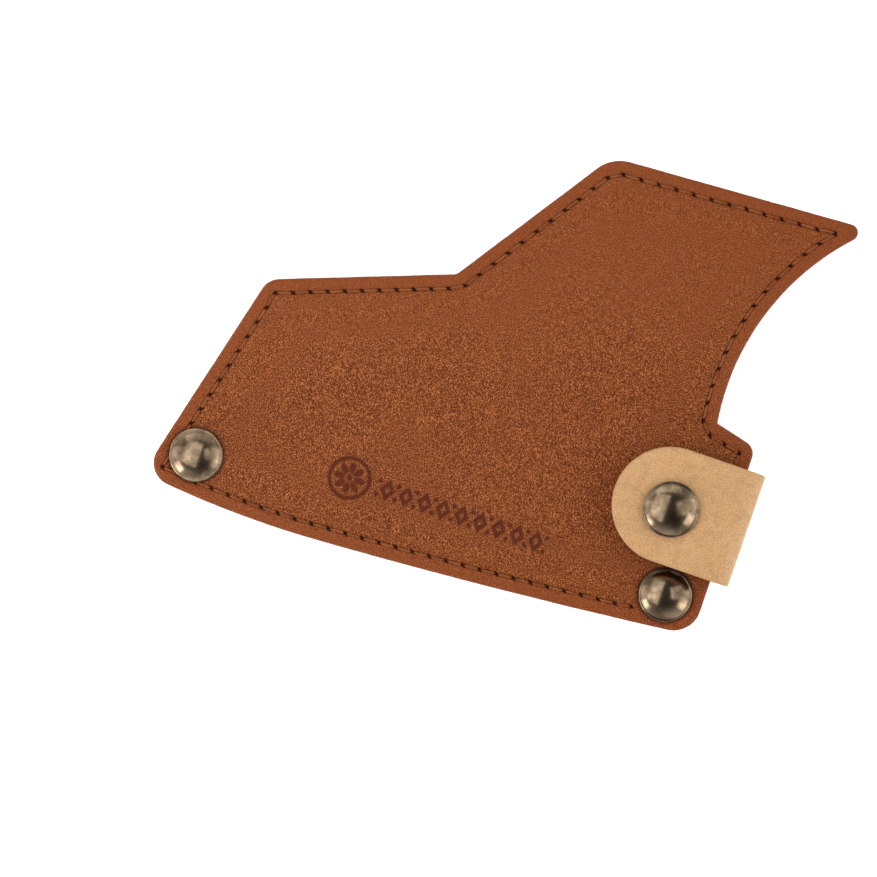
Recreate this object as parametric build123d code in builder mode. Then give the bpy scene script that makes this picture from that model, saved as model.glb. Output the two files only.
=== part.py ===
"""Leather sheath for the head of a felling axe, lying on its back face.

Two lined leather faces are sewn round a welt along the cutting edge and the heel side, and are
open round the neck lobe and the mouth edge. A strap from the back face folds over the mouth edge
and snaps shut on the front face. Cap rivets close both ends of the cutting edge. Sizes are in mm.
The outline is drawn from the snap's axis, X across the strap's fold and Y up to the neck lobe,
and the whole is then set down with the outline's middle on the Z axis and its lowest face at 0.
"""

import os
from math import cos, hypot, pi, radians, sin

from build123d import *

# outline corners and the points its curved edges pass through
heel_tip = (-113.4, -30.5)
edge_bow = (-94.0, -32.2)
edge_rise = (-70.0, -32.0)
toe_tip = (14.0, -25.0)
mouth_top = (13.8, 19.1)
neck_notch = (4.0, 21.5)
neck_side = (6.9, 49.9)
lobe_tip = (23.0, 73.4)
lobe_shoulder = (-37.5, 69.9)
heel_step = (-61.7, 34.0)
heel_shoulder = (-101.0, 19.3)
corner_radii = {
    heel_tip: 5.3, toe_tip: 6.2, mouth_top: 3.0, lobe_tip: 1.9,
    lobe_shoulder: 8.6, heel_step: 2.0, heel_shoulder: 4.6, neck_notch: 0.4,
}

# layers, from the strap's back face up
strap_thick = 2.0
leather_thick = 1.6
lining_thick = 0.8
pocket_gap = 4.5
edge_round = 0.45
back_outer = strap_thick
back_inner = back_outer + leather_thick
pocket_low = back_inner + lining_thick
pocket_high = pocket_low + pocket_gap
front_inner = pocket_high + lining_thick
front_outer = front_inner + leather_thick
seam_middle = (back_outer + front_outer) / 2
welt_width = 7.0

# sewing
seam_margin = 3.2
stitch_pitch = 3.95
thread_radius = 0.25
hole_radius = 0.55
groove_width = 1.0
groove_deep = 0.55
thread_sunk = 0.27
leg_shift = 0.27
leg_gap = 0.05

# cap rivets, at the toe and at the heel of the cutting edge
toe_rivet = (5.35, -18.35)
heel_rivet = (-103.35, -22.9)
cap_radius = 6.0
cap_high = 2.8
cap_wall = 0.45
rivet_hole = 1.9
tube_radius = 1.8
tube_bore = 1.2
post_radius = 1.1
base_radius = 4.75
base_high = 1.5
pad_radius = 6.4
seam_stop = 7.3

# strap and its two folds
strap_middle = 0.8
strap_half = 13.0
strap_end = -0.3
strap_base_end = -20.0
fold_centre = 14.0
fold_outer = 3.8
strap_top = front_outer + 3.2 + strap_thick
fold_half_gap = 0.08
anchor_box = (-17.0, -9.0, 7.5, 10.6)

# snap fastener
snap_cap_radius = 6.25
snap_cap_high = 2.7
stud_radius = 5.0
stud_neck = 2.3
stud_head = 2.8
socket_radius = 4.8
socket_bore = 3.2
socket_high = 2.35
ring_radius = 2.97
ring_wire = 0.27


# The sheath's face: its sharp outline, then the same with its corners rounded.
with BuildSketch() as sharp_face:
    with BuildLine():
        ThreePointArc(heel_tip, edge_bow, edge_rise)
        TangentArc(edge_rise, toe_tip, tangent=(1.0, 0.055))
        Line(toe_tip, mouth_top)
        Line(mouth_top, neck_notch)
        ThreePointArc(neck_notch, neck_side, lobe_tip)
        Line(lobe_tip, lobe_shoulder)
        Line(lobe_shoulder, heel_step)
        Line(heel_step, heel_shoulder)
        Line(heel_shoulder, heel_tip)
    make_face()

with BuildSketch() as face:
    add(sharp_face.sketch)
    for corner, radius in corner_radii.items():
        fillet(face.vertices().sort_by_distance(corner)[0], radius)

middle = face.sketch.bounding_box().center()


def level(height):
    """Drawing plane at this height, whose origin is the snap's axis."""
    return Plane(origin=(-middle.X, -middle.Y, height))


def inset(amount):
    """The sharp outline drawn in by this margin, with the lobe's shoulder softened."""
    with BuildSketch() as drawn_in:
        add(sharp_face.sketch)
        offset(amount=-amount)
        shoulder = drawn_in.vertices().sort_by_distance(lobe_shoulder)[0]
        fillet(shoulder, max(1.0, 7.2 - amount))
    return drawn_in.sketch


# Needle holes all the way round, one at each corner, and none under the toe rivet.
def seam_holes():
    line = inset(seam_margin).face().outer_wire()
    corners = []
    for place in sorted(line.param_at_point(v.center()) for v in line.vertices()):
        if not corners or (place - corners[-1]) * line.length > 2.4:
            corners.append(place)
    holes = []
    for start, end in zip(corners, [*corners[1:], corners[0] + 1.0]):
        count = max(1, round((end - start) * line.length / stitch_pitch))
        for step in range(count):
            point = line @ ((start + (end - start) * step / count) % 1.0)
            holes.append((point.X, point.Y))
    return holes


def clear_of_rivet(point):
    return hypot(point[0] - toe_rivet[0], point[1] - toe_rivet[1]) > seam_stop


def beside_mouth(point):
    """Whether a stitch here hems one face of the open mouth, not the closed seam."""
    return point[0] > -37.5 and point[1] > -14.5


holes = seam_holes()
tangents = [
    (Vector(*after) - Vector(*before)).normalized()
    for before, after in zip([holes[-1], *holes[:-1]], [*holes[1:], holes[0]])
]
stitches = [
    (i, (i + 1) % len(holes))
    for i in range(len(holes))
    if clear_of_rivet(holes[i]) and clear_of_rivet(holes[(i + 1) % len(holes)])
]
hems = [s for s in stitches if beside_mouth(holes[s[0]]) or beside_mouth(holes[s[1]])]
seams = [s for s in stitches if s not in hems]
hem_holes = [holes[i] for i in sorted({i for s in hems for i in s})]
sewn_holes = [holes[i] for i in sorted({i for s in stitches for i in s})]
seam_only_holes = [holes[i] for i in sorted({i for s in seams for i in s})]

# Holes round the box that sews the strap to the back face.
anchor_left, anchor_low, anchor_right, anchor_high = anchor_box
across = round((anchor_right - anchor_left) / stitch_pitch)
upward = round((anchor_high - anchor_low) / stitch_pitch)
step_x = (anchor_right - anchor_left) / across
step_y = (anchor_high - anchor_low) / upward
anchor_holes = (
    [(anchor_left + k * step_x, anchor_low) for k in range(across)]
    + [(anchor_right, anchor_low + k * step_y) for k in range(upward)]
    + [(anchor_right - k * step_x, anchor_high) for k in range(across)]
    + [(anchor_left, anchor_high - k * step_y) for k in range(upward)]
)
anchor_tangents = [
    (Vector(*after) - Vector(*before)).normalized()
    for before, after in zip(
        [anchor_holes[-1], *anchor_holes[:-1]], [*anchor_holes[1:], anchor_holes[0]]
    )
]
anchor_stitches = [(i, (i + 1) % len(anchor_holes)) for i in range(len(anchor_holes))]


# Grooves that the stitches lie in.
with BuildSketch() as inside_stitches:
    Polygon(*holes, align=None)
    offset(amount=-groove_width / 2)

with BuildSketch() as seam_groove:
    Polygon(*holes, align=None)
    offset(amount=groove_width / 2)
    add(inside_stitches.sketch, mode=Mode.SUBTRACT)
    with Locations(toe_rivet):
        Circle(seam_stop, mode=Mode.SUBTRACT)

with BuildSketch() as hem_groove:
    add(seam_groove.sketch)
    with BuildSketch(mode=Mode.INTERSECT):
        with Locations((-41.5, -14.0)):
            Rectangle(80, 100, align=(Align.MIN, Align.MIN))

with BuildSketch() as anchor_groove:
    with Locations(((anchor_left + anchor_right) / 2, (anchor_low + anchor_high) / 2)):
        Rectangle(
            anchor_right - anchor_left + groove_width, anchor_high - anchor_low + groove_width
        )
        Rectangle(
            anchor_right - anchor_left - groove_width,
            anchor_high - anchor_low - groove_width,
            mode=Mode.SUBTRACT,
        )


def cut_holes(low, thick, places, radius):
    with BuildSketch(level(low), mode=Mode.PRIVATE) as drilled:
        with Locations(*places):
            Circle(radius)
    extrude(drilled.sketch, amount=thick, mode=Mode.SUBTRACT)


def cut_groove(low, groove, deep=groove_deep):
    with BuildSketch(level(low), mode=Mode.PRIVATE) as traced:
        add(groove)
    extrude(traced.sketch, amount=deep, mode=Mode.SUBTRACT)


# Front face, with its stitch groove and the holes for the rivets and the snap's stud.
with BuildPart() as front_panel:
    with BuildSketch(level(front_inner)):
        add(face.sketch)
    extrude(amount=leather_thick)
    fillet(front_panel.faces().sort_by(Axis.Z)[-1].outer_wire().edges(), edge_round)
    cut_groove(front_outer - groove_deep, seam_groove.sketch)
    cut_holes(front_inner, leather_thick, sewn_holes, hole_radius)
    cut_holes(front_inner, leather_thick, [toe_rivet, heel_rivet], rivet_hole)
    cut_holes(front_inner, leather_thick, [(0, 0)], 1.65)

# Its lining, hollowed under the stud's flange, with the hem thread sunk round the mouth.
with BuildPart() as front_lining:
    with BuildSketch(level(pocket_high)):
        add(face.sketch)
    extrude(amount=lining_thick)
    cut_groove(pocket_high, hem_groove.sketch)
    cut_holes(pocket_high, lining_thick, sewn_holes, hole_radius)
    cut_holes(pocket_high, lining_thick, [toe_rivet, heel_rivet], rivet_hole)
    cut_holes(pocket_high + 0.2, lining_thick, [(0, 0)], 4.7)

# Back face, grooved outside for the seam and inside for the strap's sewing.
with BuildPart() as back_panel:
    with BuildSketch(level(back_outer)):
        add(face.sketch)
    extrude(amount=leather_thick)
    fillet(back_panel.faces().sort_by(Axis.Z)[0].outer_wire().edges(), edge_round)
    cut_groove(back_outer, seam_groove.sketch)
    cut_groove(back_inner - groove_deep, anchor_groove.sketch)
    cut_holes(back_outer, leather_thick, sewn_holes + anchor_holes, hole_radius)
    cut_holes(back_outer, leather_thick, [toe_rivet, heel_rivet], rivet_hole)

with BuildPart() as back_lining:
    with BuildSketch(level(back_inner)):
        add(face.sketch)
    extrude(amount=lining_thick)
    cut_groove(pocket_low - groove_deep, hem_groove.sketch)
    cut_holes(back_inner, lining_thick, sewn_holes, hole_radius)
    cut_holes(back_inner, lining_thick, [toe_rivet, heel_rivet], rivet_hole)

# Welt strips that space the two faces: along the cutting edge, then up the heel side.
with BuildSketch() as welt_band:
    add(face.sketch)
    add(inset(welt_width), mode=Mode.SUBTRACT)
    with BuildSketch(mode=Mode.PRIVATE) as pads:
        with Locations(toe_rivet, heel_rivet):
            Circle(pad_radius)
        add(face.sketch, mode=Mode.INTERSECT)
    add(pads.sketch)

with BuildPart() as edge_welt:
    with BuildSketch(level(pocket_low)):
        add(welt_band.sketch)
        with BuildSketch(mode=Mode.INTERSECT):
            with Locations((-50, -12.3)):
                Rectangle(150, 60, align=(Align.CENTER, Align.MAX))
    extrude(amount=pocket_gap)
    cut_holes(pocket_low, pocket_gap, seam_only_holes, hole_radius)
    cut_holes(pocket_low, pocket_gap, [toe_rivet, heel_rivet], rivet_hole)

with BuildPart() as heel_welt:
    with BuildSketch(level(pocket_low)):
        add(welt_band.sketch)
        with BuildSketch(mode=Mode.INTERSECT):
            with Locations((-37.9, -12.1)):
                Rectangle(90, 100, align=(Align.MAX, Align.MIN))
    extrude(amount=pocket_gap)
    cut_holes(pocket_low, pocket_gap, seam_only_holes, hole_radius)


def sew(points, directions, pairs, run_at, tips_at):
    """One stitch per pair of holes: a run between them, and a leg down each hole."""
    runs = []
    for first, last in pairs:
        start = Vector(*points[first]) + directions[first] * leg_shift
        end = Vector(*points[last]) - directions[last] * leg_shift
        with BuildLine(level(0), mode=Mode.PRIVATE) as run:
            Polyline(
                (start.X, start.Y, tips_at),
                (start.X, start.Y, run_at),
                (end.X, end.Y, run_at),
                (end.X, end.Y, tips_at),
            )
        with BuildSketch(Plane(run.line @ 0), mode=Mode.PRIVATE) as strand:
            Circle(thread_radius)
        runs.append(
            sweep(strand.sketch, run.line, transition=Transition.RIGHT, mode=Mode.PRIVATE)
        )
    add(runs)


front_hem_middle = (pocket_high + front_outer) / 2
back_hem_middle = (back_outer + pocket_low) / 2
anchor_middle = back_inner / 2

with BuildPart() as seam_needle_thread:
    sew(holes, tangents, seams, front_outer - thread_sunk, seam_middle + leg_gap)

with BuildPart() as seam_bobbin_thread:
    sew(holes, tangents, seams, back_outer + thread_sunk, seam_middle - leg_gap)

with BuildPart() as front_hem_needle_thread:
    sew(holes, tangents, hems, front_outer - thread_sunk, front_hem_middle + leg_gap)

with BuildPart() as front_hem_bobbin_thread:
    sew(holes, tangents, hems, pocket_high + thread_sunk, front_hem_middle - leg_gap)

with BuildPart() as back_hem_needle_thread:
    sew(holes, tangents, hems, back_outer + thread_sunk, back_hem_middle - leg_gap)

with BuildPart() as back_hem_bobbin_thread:
    sew(holes, tangents, hems, pocket_low - thread_sunk, back_hem_middle + leg_gap)

with BuildPart() as strap_anchor_needle_thread:
    sew(anchor_holes, anchor_tangents, anchor_stitches, thread_sunk, anchor_middle - leg_gap)

with BuildPart() as strap_anchor_bobbin_thread:
    sew(
        anchor_holes, anchor_tangents, anchor_stitches,
        back_inner - thread_sunk, anchor_middle + leg_gap,
    )


# Cap rivets. Each has a domed cap spun over a tube, and a post riveted up from its base.
def turned(centre, height, points):
    """A solid turned about an upright axis from its outline, given as (radius, height)."""
    with BuildSketch(Plane.XZ) as profile:
        with BuildLine():
            Polyline(*points, close=True)
        make_face()
    with Locations(level(height).location * Location((*centre, 0))):
        add(revolve(profile.sketch, Axis.Z, mode=Mode.PRIVATE))


def dome(centre, height, radius, high, wall):
    """A domed cap: a rolled rim, and a hollow crown."""
    rim = radius - 0.35
    with BuildSketch(Plane.XZ) as profile:
        with BuildLine():
            Line((0, high), (0, high - wall))
            TangentArc((0, high - wall), (radius * 0.84, 0.75), tangent=(1, 0))
            Line((radius * 0.84, 0.75), (radius * 0.88, 0.0))
            Line((radius * 0.88, 0.0), (rim, 0.0))
            ThreePointArc((rim, 0.0), (radius, 0.42), (rim, 0.85))
            Line((rim, 0.85), (radius * 0.91, 0.92))
            TangentArc((0, high), (radius * 0.91, 0.92), tangent=(1, 0))
        make_face()
    with Locations(level(height).location * Location((*centre, 0))):
        add(revolve(profile.sketch, Axis.Z, mode=Mode.PRIVATE))


def rivet_tube(centre):
    turned(centre, 0, [
        (tube_bore, back_inner + 0.6), (tube_radius, back_inner + 0.6),
        (tube_radius, front_outer), (5.0, front_outer), (5.0, front_outer + 0.4),
        (tube_bore, front_outer + 0.4),
    ])


def rivet_post(centre):
    turned(centre, 0, [
        (0, back_outer - 0.4), (4.1, back_outer - 0.4), (4.1, back_outer), (1.75, back_outer),
        (1.75, back_inner + 0.4), (post_radius, back_inner + 0.4),
        (post_radius, front_outer - 0.6), (0, front_outer - 0.4),
    ])


def rivet_base(centre):
    turned(centre, back_outer, [
        (0, -base_high), (base_radius - 0.7, -base_high), (base_radius, -base_high + 0.5),
        (base_radius, 0), (4.3, 0), (4.3, -0.55), (0, -0.55),
    ])


with BuildPart() as toe_rivet_cap:
    dome(toe_rivet, front_outer, cap_radius, cap_high, cap_wall)

with BuildPart() as toe_rivet_tube:
    rivet_tube(toe_rivet)

with BuildPart() as toe_rivet_post:
    rivet_post(toe_rivet)

with BuildPart() as toe_rivet_base:
    rivet_base(toe_rivet)

with BuildPart() as heel_rivet_cap:
    dome(heel_rivet, front_outer, cap_radius, cap_high, cap_wall)

with BuildPart() as heel_rivet_tube:
    rivet_tube(heel_rivet)

with BuildPart() as heel_rivet_post:
    rivet_post(heel_rivet)

with BuildPart() as heel_rivet_base:
    rivet_base(heel_rivet)


# Strap in side view: flat on the back, round both folds, and flat over the front.
def arc_point(angle, radius, low):
    """A point of a fold: the lower fold's centre is above the strap, the upper one's below."""
    height = fold_outer if low else strap_top - fold_outer
    turn = radians(angle)
    return (fold_centre + radius * cos(turn), height + radius * sin(turn))


fold_inner = fold_outer - strap_thick
half_turn = 45.0
trim = fold_half_gap / fold_outer * 180.0 / pi
strap_low = strap_middle - strap_half


def side_view():
    """The plane that a strap's side view is drawn on, at its lower long edge."""
    return Plane(
        origin=(-middle.X, strap_low - middle.Y, 0), x_dir=(1, 0, 0), z_dir=(0, -1, 0)
    )


with BuildPart() as strap_base:
    with BuildSketch(side_view()):
        with BuildLine():
            last = -half_turn - trim
            Line((strap_base_end, 0), (fold_centre, 0))
            ThreePointArc(
                (fold_centre, 0), arc_point((last - 90) / 2, fold_outer, True),
                arc_point(last, fold_outer, True),
            )
            Line(arc_point(last, fold_outer, True), arc_point(last, fold_inner, True))
            ThreePointArc(
                arc_point(last, fold_inner, True), arc_point((last - 90) / 2, fold_inner, True),
                (fold_centre, strap_thick),
            )
            Line((fold_centre, strap_thick), (strap_base_end, strap_thick))
            Line((strap_base_end, strap_thick), (strap_base_end, 0))
        make_face()
    extrude(amount=-2 * strap_half)
    ends = strap_base.edges().filter_by(Axis.Z).sort_by(Axis.X)[:2]
    fillet(ends, 5.0)
    cut_groove(0, anchor_groove.sketch)
    cut_holes(0, strap_thick, anchor_holes, hole_radius)

with BuildPart() as strap_link:
    with BuildSketch(side_view()):
        with BuildLine():
            first, last = -half_turn + trim, half_turn - trim
            low_middle, high_middle = first / 2, last / 2
            ThreePointArc(
                arc_point(first, fold_outer, True), arc_point(low_middle, fold_outer, True),
                arc_point(0, fold_outer, True),
            )
            Line(arc_point(0, fold_outer, True), arc_point(0, fold_outer, False))
            ThreePointArc(
                arc_point(0, fold_outer, False), arc_point(high_middle, fold_outer, False),
                arc_point(last, fold_outer, False),
            )
            Line(arc_point(last, fold_outer, False), arc_point(last, fold_inner, False))
            ThreePointArc(
                arc_point(last, fold_inner, False), arc_point(high_middle, fold_inner, False),
                arc_point(0, fold_inner, False),
            )
            Line(arc_point(0, fold_inner, False), arc_point(0, fold_inner, True))
            ThreePointArc(
                arc_point(0, fold_inner, True), arc_point(low_middle, fold_inner, True),
                arc_point(first, fold_inner, True),
            )
            Line(arc_point(first, fold_inner, True), arc_point(first, fold_outer, True))
        make_face()
    extrude(amount=-2 * strap_half)

with BuildPart() as strap_tab:
    with BuildSketch(side_view()):
        with BuildLine():
            first = half_turn + trim
            low = strap_top - strap_thick
            reach = strap_end - strap_half
            Line((reach, strap_top), (fold_centre, strap_top))
            ThreePointArc(
                (fold_centre, strap_top), arc_point((first + 90) / 2, fold_outer, False),
                arc_point(first, fold_outer, False),
            )
            Line(arc_point(first, fold_outer, False), arc_point(first, fold_inner, False))
            ThreePointArc(
                arc_point(first, fold_inner, False),
                arc_point((first + 90) / 2, fold_inner, False), (fold_centre, low),
            )
            Line((fold_centre, low), (reach, low))
            Line((reach, low), (reach, strap_top))
        make_face()
    extrude(amount=-2 * strap_half)
    ends = strap_tab.edges().filter_by(Axis.Z).sort_by(Axis.X)[:2]
    fillet(ends, strap_half - 0.01)
    cut_holes(low, strap_thick, [(0, 0)], 1.75)

# Snap fastener: stud on the front face, socket under the strap's tab with a split ring in it.
tab_under = strap_top - strap_thick
head_top = front_outer + 2.35

with BuildPart() as snap_stud:
    turned((0, 0), front_outer, [
        (1.55, 0), (stud_radius, 0), (stud_radius, 0.35), (stud_radius - 0.2, 0.5),
        (stud_neck, 0.5), (stud_neck, 1.5), (stud_head, 1.75), (stud_head, 2.05),
        (stud_head - 0.35, 2.35), (0, 2.35), (0, 2.0), (1.55, 2.0),
    ])

with BuildPart() as snap_stud_post:
    turned((0, 0), front_inner, [
        (0, -0.5), (4.5, -0.5), (4.5, 0), (1.5, 0), (1.5, leather_thick + 1.9),
        (1.1, leather_thick + 1.9), (0.9, -0.1), (0, -0.1),
    ])

with BuildPart() as snap_socket:
    turned((0, 0), tab_under, [
        (1.85, 0), (socket_radius - 0.2, 0), (socket_radius, -0.2),
        (socket_radius, -socket_high + 0.4), (socket_radius - 0.4, -socket_high),
        (socket_bore, -socket_high), (socket_bore, -socket_high + 0.25),
        (3.6, -socket_high + 0.25), (3.6, -socket_high + 1.0),
        (socket_bore + 0.1, -socket_high + 1.0), (socket_bore + 0.1, -0.35), (1.85, -0.35),
    ])

with BuildPart() as snap_ring_spring:
    with BuildSketch(Plane.XZ) as wire:
        with Locations((ring_radius, 0)):
            Circle(ring_wire)
    with Locations(level(tab_under - socket_high + 0.6).location * Rotation(0, 0, 20)):
        add(revolve(wire.sketch, Axis.Z, 335, mode=Mode.PRIVATE))

with BuildPart() as snap_cap_post:
    turned((0, 0), tab_under, [
        (0, -0.7), (2.4, -0.7), (2.4, -0.4), (1.6, -0.4), (1.6, strap_thick),
        (4.4, strap_thick), (4.4, strap_thick + 0.35), (0, strap_thick + 0.35),
    ])

with BuildPart() as snap_cap:
    dome((0, 0), strap_top, snap_cap_radius, snap_cap_high, cap_wall)


os.makedirs("parts", exist_ok=True)
for name, made in [
    ("front_panel", front_panel), ("front_lining", front_lining),
    ("back_panel", back_panel), ("back_lining", back_lining),
    ("edge_welt", edge_welt), ("heel_welt", heel_welt),
    ("seam_needle_thread", seam_needle_thread), ("seam_bobbin_thread", seam_bobbin_thread),
    ("front_hem_needle_thread", front_hem_needle_thread),
    ("front_hem_bobbin_thread", front_hem_bobbin_thread),
    ("back_hem_needle_thread", back_hem_needle_thread),
    ("back_hem_bobbin_thread", back_hem_bobbin_thread),
    ("strap_anchor_needle_thread", strap_anchor_needle_thread),
    ("strap_anchor_bobbin_thread", strap_anchor_bobbin_thread),
    ("toe_rivet_cap", toe_rivet_cap), ("toe_rivet_tube", toe_rivet_tube),
    ("toe_rivet_post", toe_rivet_post), ("toe_rivet_base", toe_rivet_base),
    ("heel_rivet_cap", heel_rivet_cap), ("heel_rivet_tube", heel_rivet_tube),
    ("heel_rivet_post", heel_rivet_post), ("heel_rivet_base", heel_rivet_base),
    ("strap_base", strap_base), ("strap_link", strap_link), ("strap_tab", strap_tab),
    ("snap_stud", snap_stud), ("snap_stud_post", snap_stud_post),
    ("snap_socket", snap_socket), ("snap_ring_spring", snap_ring_spring),
    ("snap_cap_post", snap_cap_post), ("snap_cap", snap_cap),
]:
    made.part.label = name
    export_step(made.part, f"parts/{name}.step")
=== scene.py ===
"""Looks for the leather axe head sheath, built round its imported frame.
"""

import math

import bpy
import numpy as np
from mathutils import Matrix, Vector
from mathutils.kdtree import KDTree


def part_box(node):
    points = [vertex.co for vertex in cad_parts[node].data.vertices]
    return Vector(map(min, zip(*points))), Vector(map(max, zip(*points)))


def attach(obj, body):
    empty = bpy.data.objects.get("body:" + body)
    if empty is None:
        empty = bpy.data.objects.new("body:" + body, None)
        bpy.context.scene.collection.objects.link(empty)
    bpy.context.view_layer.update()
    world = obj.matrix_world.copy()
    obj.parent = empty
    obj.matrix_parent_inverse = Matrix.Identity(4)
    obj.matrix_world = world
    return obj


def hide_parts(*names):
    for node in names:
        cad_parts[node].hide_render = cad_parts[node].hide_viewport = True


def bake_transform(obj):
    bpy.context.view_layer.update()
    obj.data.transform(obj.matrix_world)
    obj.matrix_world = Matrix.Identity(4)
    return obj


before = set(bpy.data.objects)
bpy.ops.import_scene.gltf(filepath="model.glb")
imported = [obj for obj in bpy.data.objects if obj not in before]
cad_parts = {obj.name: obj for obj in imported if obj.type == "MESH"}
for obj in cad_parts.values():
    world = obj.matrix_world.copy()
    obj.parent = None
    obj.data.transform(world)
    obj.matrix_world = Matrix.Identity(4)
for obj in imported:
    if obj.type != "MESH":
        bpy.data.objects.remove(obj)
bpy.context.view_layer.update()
MM = 0.001
TILT = math.radians(19.0)  # how far the photograph turns the sheath; the grain runs along it too


def node_box(name):
    """A CAD node's lowest and highest corners, in mm."""
    low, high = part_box(name)
    return np.array(low) / MM, np.array(high) / MM


cap_low, cap_high = node_box("snap_cap")
SNAP = (cap_low + cap_high)[:2] / 2
FRONT, FRONT_IN = node_box("front_panel")[1][2], node_box("front_panel")[0][2]
BACK, BACK_IN = node_box("back_panel")[0][2], node_box("back_panel")[1][2]
FRONT_POCKET = node_box("front_lining")[0][2]
BACK_POCKET = node_box("back_lining")[1][2]


# ---------------------------------------------------------------- plane outlines
def arc(p, q, r, step=0.02):
    """Points along the circle from p through q to r."""
    p, q, r = (np.array(v, float) for v in (p, q, r))
    m = 2 * np.array([q - p, r - q])
    c = np.linalg.solve(m, [q @ q - p @ p, r @ r - q @ q])
    radius = np.linalg.norm(p - c)
    start = math.atan2(*(p - c)[::-1])
    end = math.atan2(*(r - c)[::-1])
    left = np.cross(q - p, r - q) > 0
    sweep = (end - start) % (2 * math.pi) if left else -((start - end) % (2 * math.pi))
    a = start + np.linspace(0, sweep, max(2, int(abs(sweep) * radius / step)))
    return c + radius * np.stack([np.cos(a), np.sin(a)], 1)


def line(p, q, step=0.02):
    """Points along the straight run from p to q."""
    p, q = np.array(p, float), np.array(q, float)
    n = max(2, int(np.linalg.norm(q - p) / step))
    return p + (q - p) * np.linspace(0, 1, n)[:, None]


def left_of(run):
    """Unit vectors to the left of an open run, one at each of its points."""
    ahead = np.gradient(run, axis=0)
    ahead /= np.linalg.norm(ahead, axis=1)[:, None]
    return np.stack([-ahead[:, 1], ahead[:, 0]], 1)


REACH = 900  # points of each run that a corner may use


def bend_between(before, after, radius):
    """Trims two runs that meet, and gives the round corner between them."""
    u, v = before[-1] - before[-2], after[1] - after[0]
    side = radius * np.sign(np.cross(u, v))
    b, a = before[-REACH:], after[:REACH]
    from_b, from_a = b + left_of(b) * side, a + left_of(a) * side
    gap = np.linalg.norm(from_b[:, None] - from_a[None], axis=2)
    i, j = np.unravel_index(gap.argmin(), gap.shape)
    centre = (from_b[i] + from_a[j]) / 2
    start = math.atan2(*(b[i] - centre)[::-1])
    sweep = math.atan2(*(a[j] - centre)[::-1]) - start
    sweep = (sweep + math.pi) % (2 * math.pi) - math.pi
    t = start + sweep * np.linspace(0, 1, max(4, int(abs(sweep) * radius / 0.02)))[1:-1]
    round_part = centre + radius * np.stack([np.cos(t), np.sin(t)], 1)
    return before[: len(before) - len(b) + i + 1], round_part, after[j:]


def rounded(runs, radii, step=0.1):
    """Joins runs into a closed outline, with a round corner where each run starts."""
    runs, bends = list(runs), []
    for k, radius in enumerate(radii):
        bend = np.zeros((0, 2))
        if radius > 0:
            runs[k - 1], bend, runs[k] = bend_between(runs[k - 1], runs[k], radius)
        bends.append(bend)
    points = np.vstack([p for bend, run in zip(bends, runs) for p in (bend, run)])
    gap = np.linalg.norm(np.diff(points, axis=0, append=points[:1]), axis=1)
    travelled = np.concatenate([[0], np.cumsum(gap)])
    closed = np.vstack([points, points[:1]])
    at = np.linspace(0, travelled[-1], int(travelled[-1] / step), endpoint=False)
    return np.stack([np.interp(at, travelled, closed[:, k]) for k in (0, 1)], 1)


def inward(points):
    """Unit vectors into a closed outline that runs anticlockwise."""
    ahead = np.roll(points, -1, 0) - np.roll(points, 1, 0)
    ahead /= np.linalg.norm(ahead, axis=1)[:, None]
    return np.stack([-ahead[:, 1], ahead[:, 0]], 1)


def face_outline():
    """The sheath's edge, as in the CAD, from the snap's axis."""
    rise, toe = np.array([-70.0, -32.0]), np.array([14.0, -25.0])
    along = np.array([1.0, 0.055]) / math.hypot(1.0, 0.055)
    chord = toe - rise
    lean = math.atan2(np.cross(along, chord), along @ chord)
    radius = np.linalg.norm(chord) / (2 * math.sin(lean))
    centre = rise + radius * np.array([-along[1], along[0]])
    turn = np.array([[math.cos(lean), -math.sin(lean)], [math.sin(lean), math.cos(lean)]])
    runs = [
        arc((-113.4, -30.5), (-94.0, -32.2), rise),
        arc(rise, centre + turn @ (rise - centre), toe),
        line(toe, (13.8, 19.1)),
        line((13.8, 19.1), (4.0, 21.5)),
        arc((4.0, 21.5), (6.9, 49.9), (23.0, 73.4)),
        line((23.0, 73.4), (-37.5, 69.9)),
        line((-37.5, 69.9), (-61.7, 34.0)),
        line((-61.7, 34.0), (-101.0, 19.3)),
        line((-101.0, 19.3), (-113.4, -30.5)),
    ]
    return rounded(runs, [5.3, 0.0, 6.2, 3.0, 0.4, 1.9, 8.6, 2.0, 4.6])


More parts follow.
